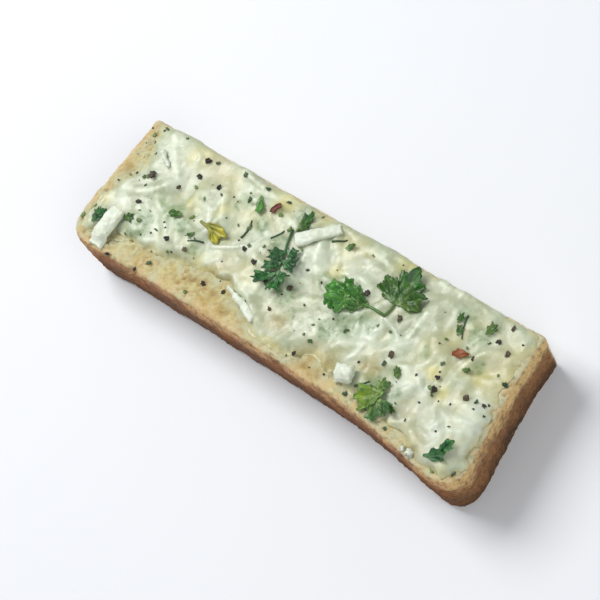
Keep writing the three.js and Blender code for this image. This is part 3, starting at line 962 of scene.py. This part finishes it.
def make_leaf(leaf, ground):
    whole = Matrix.Rotation(math.radians(leaf["turn"]), 2)
    centre = Vector((leaf["x"] + TO_ORIGIN[0], leaf["y"] + TO_ORIGIN[1]))
    points, faces, veins, rims, along = [], [], [], [], []
    for k, (bx, by, aim, long, wide, lean) in enumerate(leaf["blades"]):
        flat, gaps, rim = make_blade(long, wide, leaf["cut"], leaf["bite"], 3.7 * k + leaf["x"])
        turn = Matrix.Rotation(math.radians(aim), 2)
        local = [Vector((bx, by)) + turn @ p for p in flat]
        spots = [centre + whole @ p for p in local]
        rest = settle([drop(ground, p.x, p.y, CHEESE_TOP) for p in spots], leaf_disc[1], 8)
        start = len(points)
        for p, q, z, gap, r in zip(flat, spots, rest, gaps, rim):
            bulge = leaf["fold"] * min(1, gap / (0.16 * wide + 0.1))
            curl = leaf["curl"] * (p.x / long) ** 2
            sway = noise.noise(Vector((p.x * 0.5, p.y * 0.5, k + leaf["x"])))
            sway += 0.45 * noise.noise(Vector((p.x * 1.2, p.y * 1.2, k + leaf["y"])))
            lift = max(0.0, bulge + curl + leaf["crumple"] * sway * (0.3 + r) + lean * p.y / wide)
            points.append((q.x, q.y, z + 0.1 + 0.06 * k + lift))
        faces.extend(tuple(i + start for i in f) for f in leaf_disc[1])
        veins.extend(math.exp(-(gap / 0.13) ** 2) for gap in gaps)
        rims.extend(rim)
        along.extend(0.5 + p.x / leaf["long"] for p in local)
    piece = new_piece(leaf["name"] + "_blade", points, faces)
    paint(piece, "vein", veins)
    paint(piece, "rim", rims)
    paint(piece, "along", along)
    apply_modifier(piece, "SOLIDIFY", thickness=0.2 * MM, offset=1.0)
    if leaf["stalk"]:
        add_stalk(piece, leaf, centre, whole, ground)
    return piece


# %% The leaf's stalk
def add_stalk(piece, leaf, centre, whole, ground):
    start = centre + whole @ Vector((-0.5 * leaf["long"] - leaf["stalk"], 0))
    aim = math.radians(leaf["turn"])
    reach = leaf["stalk"] + 0.6 * leaf["long"]
    centres = track(ground, start.x, start.y, aim - 0.1, reach, 0.025, 0.3)
    rib = new_piece("rib", *rod(centres, [0.34 - 0.02 * i for i in range(SECTIONS)], 1.0))
    paint(rib, "vein", [0.35] * len(rib.data.vertices))
    paint(rib, "along", [0.3] * len(rib.data.vertices))
    fuse(piece, rib)


# %% [markdown]
# Leaf green is never one green: the blade darkens in patches where the heat dried it, pales along its
# veins, and changes from stalk to tip. Each finish mixes four colours by the attributes painted above.

# %% Leaf finishes
def leaf_finish(name, stalk, tip, deep, vein):
    f = Finish(name)
    mottle = f.noise(1.5, 4, 0.6)
    grain = f.noise(0.3, 2, 0.5)
    colour = f.mix(f.span(f.painted("along"), 0.15, 0.85), stalk, tip)
    colour = f.mix(f.span(mottle, 0.42, 0.66), colour, deep)
    colour = f.mix(f.span(f.painted("rim"), 0.75, 1.0, 0, 0.4), colour, deep)
    colour = f.mix(f.maths("MULTIPLY", f.painted("vein"), 0.45), colour, vein)
    f.set(Base_Color=colour, Roughness=0.36, Specular_IOR_Level=0.45)
    f.set(Subsurface_Weight=0.1, Subsurface_Scale=0.0005)
    f.set(Normal=f.bump(grain, 0.05, f.bump(mottle, 0.12)))
    return f.material


LEAF_TINTS = dict(
    mid=((76, 104, 40), (48, 106, 36), (32, 76, 28), (112, 154, 76)),
    bright=((42, 74, 32), (78, 146, 54), (46, 106, 38), (152, 194, 108)),
    dark=((44, 96, 50), (54, 116, 54), (28, 70, 42), (116, 160, 110)),
    pale=((126, 152, 46), (46, 88, 50), (62, 110, 50), (160, 186, 92)),
    yellow=((74, 88, 40), (184, 178, 60), (140, 138, 46), (192, 190, 104)),
)
LEAF_LOOKS = {}
for look, tints in LEAF_TINTS.items():
    LEAF_LOOKS[look] = leaf_finish(look + " leaf", *[tint(*c) for c in tints])
print("leaf finishes:", len(LEAF_LOOKS))

# %% [markdown]
# Each leaf is one row: where its middle lies and how it is turned, its length and stalk, how deeply its
# edge is cut and toothed, how much it folds, curls and crumples, its green, and its blades. They are laid
# on the toast, the cheese and the whole shreds together, so that a leaf beside a shred doesn't cut it.

# %% Lay the leaves
LEAVES = [
    dict(name="parsley_1", x=25.2, y=10.8, long=8.6, turn=87, stalk=3, cut=0.22, bite=0.1, fold=0.5,
         curl=0.6, crumple=0.8, look="mid", blades=[
             (-4.1, 0, 0, 8.4, 7.4, 0.3), (-4.0, 0.2, 52, 6.2, 5.4, -0.4), (-4.0, -0.2, -50, 6.4, 5.2, 0.5)]),
    dict(name="parsley_2", x=16.1, y=3, long=11.6, turn=184, stalk=3, cut=0.26, bite=0.07, fold=0.5,
         curl=0.8, crumple=1.0, look="bright", blades=[
             (-4.6, 0, -20, 3.6, 2.2, 0.4), (-3.6, 0, 34, 3.8, 2.6, -0.5), (-2.6, 0, -36, 5.0, 3.8, 0.6),
             (-0.8, 0, 44, 5.2, 4.2, -0.4), (0.6, 0, -52, 4.6, 3.8, 0.7), (0.8, 0, 4, 5.4, 5.0, 0.3),
             (1.6, 0.4, 62, 4.2, 3.2, 0.5)]),
    dict(name="parsley_3", x=-1.6, y=0.6, long=11.4, turn=-66, stalk=4, cut=0.26, bite=0.1, fold=0.6,
         curl=1.0, crumple=0.9, look="dark", blades=[
             (-5.0, 0, 60, 4.0, 3.2, 0.9), (-4.4, 0, -58, 4.2, 3.4, -0.9), (-2.0, 0, 74, 4.8, 4.2, -0.9),
             (-1.6, 0, -64, 4.4, 3.6, 1.0), (0.6, 0, 42, 4.6, 3.8, 1.0), (1.2, -0.2, -76, 6.0, 3.4, 0.6),
             (1.8, 0, -6, 4.2, 3.6, 0.8)]),
    dict(name="parsley_4", x=-4, y=12, long=5.4, turn=74, stalk=0, cut=0.26, bite=0.14, fold=0.4,
         curl=0.6, crumple=0.6, look="mid", blades=[
             (-2.6, 0, 6, 5.4, 2.8, 0.5), (-2.2, 0, -34, 3.6, 2.0, -0.4)]),
    dict(name="parsley_5", x=33.5, y=-11.3, long=9.6, turn=8, stalk=0, cut=0.24, bite=0.12, fold=0.45,
         curl=0.7, crumple=0.8, look="pale", blades=[
             (2.0, 1.3, 206, 7.2, 6.4, 0.5), (0.6, -0.4, 296, 4.8, 4.2, -0.5),
             (1.4, -0.2, 338, 4.6, 3.0, 0.6), (1.0, 0.8, 98, 3.8, 3.6, -0.6)]),
    dict(name="parsley_6", x=53.4, y=-13.8, long=7, turn=48, stalk=0, cut=0.24, bite=0.12, fold=0.4,
         curl=0.8, crumple=0.8, look="dark", blades=[
             (-3.4, 0.3, -12, 5.0, 3.0, 0.8), (-0.8, -0.2, 14, 4.4, 3.0, -0.7)]),
    dict(name="parsley_7", x=-49.8, y=-9.2, long=4.8, turn=84, stalk=0, cut=0.26, bite=0.12, fold=0.4,
         curl=0.5, crumple=0.6, look="dark", blades=[
             (-2.4, 0.2, -14, 4.6, 2.4, 0.4), (-2.2, -0.2, 26, 3.8, 2.0, -0.4)]),
    dict(name="parsley_8", x=-16, y=10.5, long=4.8, turn=-55, stalk=0, cut=0.1, bite=0.08, fold=0.35,
         curl=0.4, crumple=0.4, look="bright", blades=[(-2.4, 0, 0, 4.8, 2.3, 0.5)]),
    dict(name="yellow_leaf", x=-21.6, y=0.5, long=7, turn=-6, stalk=1, cut=0.05, bite=0.03, fold=0.35,
         curl=0.3, crumple=0.6, look="yellow", blades=[
             (-3.4, 0, 6, 6.9, 2.4, 0.7), (-1.4, -0.1, -24, 4.0, 2.0, -0.6)]),
]
ground = tree_of(toast, cheese, *whole_pieces)
for leaf in LEAVES:
    slot = "yellow_leaf" if leaf["name"] == "yellow_leaf" else "parsley"
    finish_piece(make_leaf(leaf, ground), LEAF_LOOKS[leaf["look"]], slot, leaf["name"])

# %% [markdown]
# The chopper also left ten torn bits of blade. They are made as the leaves are, one short blade each, and
# joined into one piece.

# %% Torn bits of leaf
# Each bit is its place, its length and its direction in degrees.
TORN_BITS = [
    (46.1, 12.3, 3.2, 70), (8.8, 12.3, 2.8, 30), (-32.3, -0.5, 3.4, 200), (38.4, -11.6, 2.8, 320),
    (40.6, 8.8, 2.4, 95), (39.4, 11.0, 2.2, 80), (-42.4, -6.4, 3.0, 10), (34.9, -4.8, 2.6, 130),
    (-25.8, -2.8, 2.2, 240), (47.1, 2.6, 2.0, 20),
]


def make_torn():
    draw = random.Random(23)
    torn = None
    for x, y, long, turn in TORN_BITS:
        blades = [(-0.5 * long, 0, 0, long, long * draw.uniform(0.55, 0.8), draw.uniform(-0.6, 0.6))]
        row = dict(name="torn", x=x, y=y, long=long, turn=turn, stalk=0, cut=draw.uniform(0.15, 0.35))
        row.update(bite=0.12, fold=0.25, curl=0.4, crumple=0.5, blades=blades)
        bit = make_leaf(row, ground)
        paint(bit, "along", [draw.random()] * len(bit.data.vertices))
        if torn:
            fuse(torn, bit)
        else:
            torn = bit
    torn.name = "torn_bits"
    return torn


finish_piece(make_torn(), LEAF_LOOKS["mid"], "parsley")

# %% [markdown]
# ## Pepper
# Cracked pepper is angular: black skin, and a paler broken inside. Particles would scatter it quickly, but
# they aren't mesh. So one crumb is modelled as a small ball of triangles, and turned, stretched and dented
# copies of its points are joined into one piece, with flat shading for the broken faces. The larger
# grains have places of their own, and finer dust lies between them, anywhere inside the rim.

# %% Where the grains lie
# Each grain is its place and its size.
PEPPER = [
    (-44.6, 4.5, 1.9), (43.8, -3.9, 1.5), (18.3, 5.9, 1.5), (31.5, -2.3, 1.5), (27.9, 4.9, 1.4),
    (-30.5, -6.1, 1.4), (-24.8, -6.1, 1.2), (-34.8, 13.4, 1.5), (-34.4, 9.4, 1.3), (-27.6, 9.2, 1.3),
    (-7.8, -0.8, 1.3), (2.9, -1.6, 1.5), (-43.3, -2.3, 1.2), (50.8, -2.3, 1.5), (48.7, 10.8, 1.3),
    (54.6, -1.6, 1.1), (43.1, -1.5, 1.2), (1.6, -7.3, 1.1), (-12.2, 0.6, 1.2), (-37.2, 5.0, 1.1),
    (52.0, 9.5, 1.2), (-42.3, -15.6, 1.0), (-33.7, -15.2, 1.0), (-17.0, -9.9, 1.3), (-11.6, -9.2, 1.1),
    (24.4, 15.4, 1.4), (49.6, 14.6, 1.2), (12.2, -12.2, 1.1),
]
surface = tree_of(toast, cheese)


def dust(count, size, draw):
    spots = []
    while len(spots) < count:
        x, y = draw.uniform(1 - HALF_LONG, HALF_LONG - 1), draw.uniform(1 - HALF_WIDE, HALF_WIDE - 1)
        corners = [drop(surface, x + i, y + j, 0.0) for i in (-1, 1) for j in (-1, 1)]
        if min(corners) > RIM_HEIGHT - 0.2:
            spots.append((x - TO_ORIGIN[0], y - TO_ORIGIN[1], draw.uniform(*size)))
    return spots


draw = random.Random(3)
pepper_spots = PEPPER + dust(64, (0.25, 0.65), draw)
print("pepper grains:", len(pepper_spots))

# %% One crumb, and its copies
FULL_TURN = 6.28


def model_crumb():
    bpy.ops.object.select_all(action="DESELECT")
    bpy.ops.mesh.primitive_ico_sphere_add(subdivisions=2, radius=0.5)
    crumb = bpy.context.active_object
    made = [v.co.copy() for v in crumb.data.vertices], [tuple(p.vertices) for p in crumb.data.polygons]
    bpy.data.objects.remove(crumb)
    return made


def grains(name, spots, draw, flat, dent):
    crumb, skin = model_crumb()
    points, faces, tone = [], [], []
    for x, y, size in spots:
        x, y = x + TO_ORIGIN[0], y + TO_ORIGIN[1]
        z = drop(surface, x, y, CHEESE_TOP)
        spin = Matrix.Rotation(draw.uniform(0, FULL_TURN), 3, "Z")
        spin = spin @ Matrix.Rotation(draw.uniform(-0.5, 0.5), 3, "X")
        shade, start, wild = draw.random(), len(points), draw.uniform(0, 50)
        for c in crumb:
            rough = 1 + dent * noise.noise(c * 3.2 + Vector((wild, 0, 0)))
            p = Vector((c.x, c.y * 0.8, c.z * flat)) * (size * 0.96 * rough)
            points.append(spin @ p + Vector((x, y, z + 0.05 * size)))
            tone.append(shade)
        faces.extend(tuple(i + start for i in f) for f in skin)
    piece = new_piece(name, points, faces)
    paint(piece, "tone", tone)
    return piece


# %% The pepper's finish
def grain_finish(name, dark, light, rough):
    f = Finish(name)
    grit = f.noise(0.45, 3, 0.6)
    colour = f.mix(f.span(f.painted("tone"), 0.3, 1.0), dark, light)
    colour = f.mix(f.span(grit, 0.55, 0.72, 0, 0.6), colour, light)
    f.set(Base_Color=colour, Roughness=rough, Normal=f.bump(grit, 0.1))
    return f.material


pepper = grains("cracked_pepper", pepper_spots, draw, flat=0.68, dent=1.0)
pepper_finish = grain_finish("cracked pepper", tint(30, 27, 24), tint(86, 74, 52), 0.55)
finish_piece(pepper, pepper_finish, "cheese", smooth=False)

# %% [markdown]
# Two crumbs of cheese stuck to the front rim. They are copies of the same crumb, flatter and more dented,
# with the finish of the whole shreds and smooth shading, because cheese has no sharp edges.

# %% Crumbs of cheese
CRUMBS = [(46.9, -16.8, 2.0), (45.0, -16.7, 1.2)]
crumbs = grains("cheese_crumbs", CRUMBS, random.Random(5), flat=0.5, dent=1.5)
finish_piece(crumbs, whole_cheese, "cheese")

# %% [markdown]
# ## Herb bits, chilli and stems
# The finest of the chopped parsley is flakes of blade, too small to show teeth or veins. A flake is a
# small disc with few sides, made ragged and curled; all flakes are joined into one mesh before one
# Solidify gives them thickness. Flat cards would do from above, but would vanish from the side.

# %% Herb bits
FLAKE_SIDES = 12
flake_disc = model_disc("flake_disc", FLAKE_SIDES, rings=3)


def flakes(name, spots, draw, narrow, curl, thickness):
    disc, skin = flake_disc
    points, faces, tone = [], [], []
    for x, y, size, *outline in spots:
        centre = Vector((x + TO_ORIGIN[0], y + TO_ORIGIN[1]))
        turn = Matrix.Rotation(draw.uniform(0, FULL_TURN), 2)
        reach = outline[0] if outline else [draw.uniform(0.5, 1.15) for _ in range(FLAKE_SIDES)]
        shade, start, lean = draw.random(), len(points), draw.uniform(0, FULL_TURN)
        wide = draw.uniform(*narrow)
        for a, r in disc:
            edge = reach[round(a / math.tau * FLAKE_SIDES) % FLAKE_SIDES]
            p = centre + turn @ Vector((math.cos(a), wide * math.sin(a))) * (0.56 * size * r * edge)
            lift = curl * size * (r ** 2 * (0.5 + 0.5 * math.cos(2 * a + lean)))
            points.append((p.x, p.y, drop(surface, p.x, p.y, CHEESE_TOP) + 0.08 + lift))
            tone.append(shade)
        faces.extend(tuple(i + start for i in f) for f in skin)
    piece = new_piece(name, points, faces)
    paint(piece, "tone", tone)
    apply_modifier(piece, "SOLIDIFY", thickness=thickness * MM, offset=1.0)
    return piece


draw = random.Random(11)
herbs = flakes("herb_bits", dust(84, (0.5, 1.4), draw), draw, (0.45, 0.95), curl=0.16, thickness=0.18)
herb_finish = grain_finish("herb bits", tint(36, 68, 40), tint(100, 128, 60), 0.45)
finish_piece(herbs, herb_finish, "parsley")

# %% [markdown]
# The two chilli flakes are broken bits of dried skin, thicker and glossier than a herb. They are large
# enough to show their outlines, so these aren't drawn at random: each is given by how far it reaches at
# every twelfth of a turn. Flat shading keeps the creases of the dry skin.

# %% Chilli flakes
# Each flake is its place, its size and its outline.
CHILLI = [
    (-12.1, 11.6, 2.6, (0.9, 1.1, 0.75, 0.6, 0.95, 1.2, 0.8, 0.85, 0.6, 0.75, 1.05, 0.7)),
    (43.8, 4.8, 3.0, (1.35, 0.7, 0.75, 0.65, 1.0, 0.75, 0.95, 1.05, 0.7, 0.8, 0.6, 0.8)),
]
chilli = flakes("chilli_flakes", CHILLI, random.Random(4), (0.72, 0.8), curl=0.22, thickness=0.3)
paint(chilli, "tone", points_of(chilli)[:, 0] > 0)
chilli_finish = grain_finish("chilli", tint(96, 40, 28), tint(134, 74, 36), 0.45)
finish_piece(chilli, chilli_finish, "cheese", smooth=False)

# %% [markdown]
# Bits of thin parsley stalk lie among the leaves. They are the same bent bars as the strands of cheese,
# round instead of flattened, laid along the surface and joined into one piece.

# %% Stems
# Each stem is its start, its direction in degrees, its length and its radius.
STEMS = [
    (-15.2, 2.4, 84, 4.4, 0.3), (-8.4, 5.4, 60, 3.2, 0.25), (4.2, 11.4, 30, 3.2, 0.28),
    (16, -0.6, 170, 3.0, 0.22), (-22.4, -2.6, 200, 3.4, 0.25), (40.2, 12.2, -80, 5.0, 0.24),
    (28.6, -11.5, 35, 3.4, 0.26),
]
stems = new_piece("herb_stems", *placed(surface, STEMS, 0.1)[:2])
paint(stems, "tone", [0.4] * len(stems.data.vertices))
finish_piece(stems, herb_finish, "parsley")

# %% [markdown]
# ## Floor, light and camera
# The floor is one wide pale plane, so plain that nothing competes with the food. It only needs to catch
# the shadow; it isn't part of the object.

# %% Floor
bpy.ops.object.select_all(action="DESELECT")
bpy.ops.mesh.primitive_plane_add(size=4)
floor = bpy.context.active_object
floor.name = "floor"
pale = Finish("pale floor")
pale.set(Base_Color=tint(222, 226, 232), Roughness=0.75)
floor.data.materials.append(pale.material)
print("floor size in m:", round(floor.dimensions.x, 1))

# %% [markdown]
# A large soft lamp stands high beyond the left end, like a window, so that the right-hand end and the
# front crust lie in soft shade; a weaker one opposite and a pale sky fill the rest. A sky alone would be
# simpler, but the ridges of the cheese only show when the light comes mostly from one side.

# %% Light
def area_light(name, place_m, size_m, power, colour):
    lamp = bpy.data.lights.new(name, "AREA")
    lamp.energy, lamp.size, lamp.color = power, size_m, colour
    holder = bpy.data.objects.new(name, lamp)
    bpy.context.scene.collection.objects.link(holder)
    holder.location = place_m
    holder.rotation_euler = (Vector((0, 0, 0.01)) - Vector(place_m)).to_track_quat("-Z", "Y").to_euler()
    print(name, "lamp in watts:", power)


area_light("window", (-0.42, 0.05, 0.56), 0.4, 4.7, (1.0, 0.98, 0.95))
area_light("fill", (0.6, -0.12, 0.42), 0.7, 3.0, (1.0, 0.985, 0.965))
sky = bpy.data.worlds.new("soft sky")
sky.use_nodes = True
sky.node_tree.nodes["Background"].inputs["Color"].default_value = (0.98, 0.99, 1.0, 1)
sky.node_tree.nodes["Background"].inputs["Strength"].default_value = 0.3
bpy.context.scene.world = sky
bpy.context.scene.view_settings.view_transform = "Standard"

# %% [markdown]
# The camera stands where the picture was taken from, a place found by fitting the finger's outline. The
# direction that is up in the picture comes from the same fit, so the camera's three axes are worked out
# from it, where a Track To constraint would keep the picture level. A long lens lets the finger fill the
# frame.

# %% Camera
SENSOR_MM = 36
PICTURE_PX = 600
FOCAL_PX = 1880
stand = Vector((216.4, -60.6, 331.1)) * MM
look_at = Vector((2.0, -0.5, 12.0)) * MM
image_up = Vector((-0.425, 0.786, 0.449))
back = (stand - look_at).normalized()
right = image_up.cross(back).normalized()
up = back.cross(right)
lens = bpy.data.cameras.new("camera")
lens.sensor_width = SENSOR_MM
lens.lens = SENSOR_MM * FOCAL_PX / PICTURE_PX
camera = bpy.data.objects.new("camera", lens)
bpy.context.scene.collection.objects.link(camera)
camera.matrix_world = Matrix.Translation(stand) @ Matrix((right, up, back)).transposed().to_4x4()
bpy.context.scene.camera = camera
print("camera distance in mm:", round((stand - look_at).length / MM))

# %% [markdown]
# ## Last step
# Last, the view layer is updated, so that every piece stands where it was put.

# %% Update the view layer
bpy.context.view_layer.update()
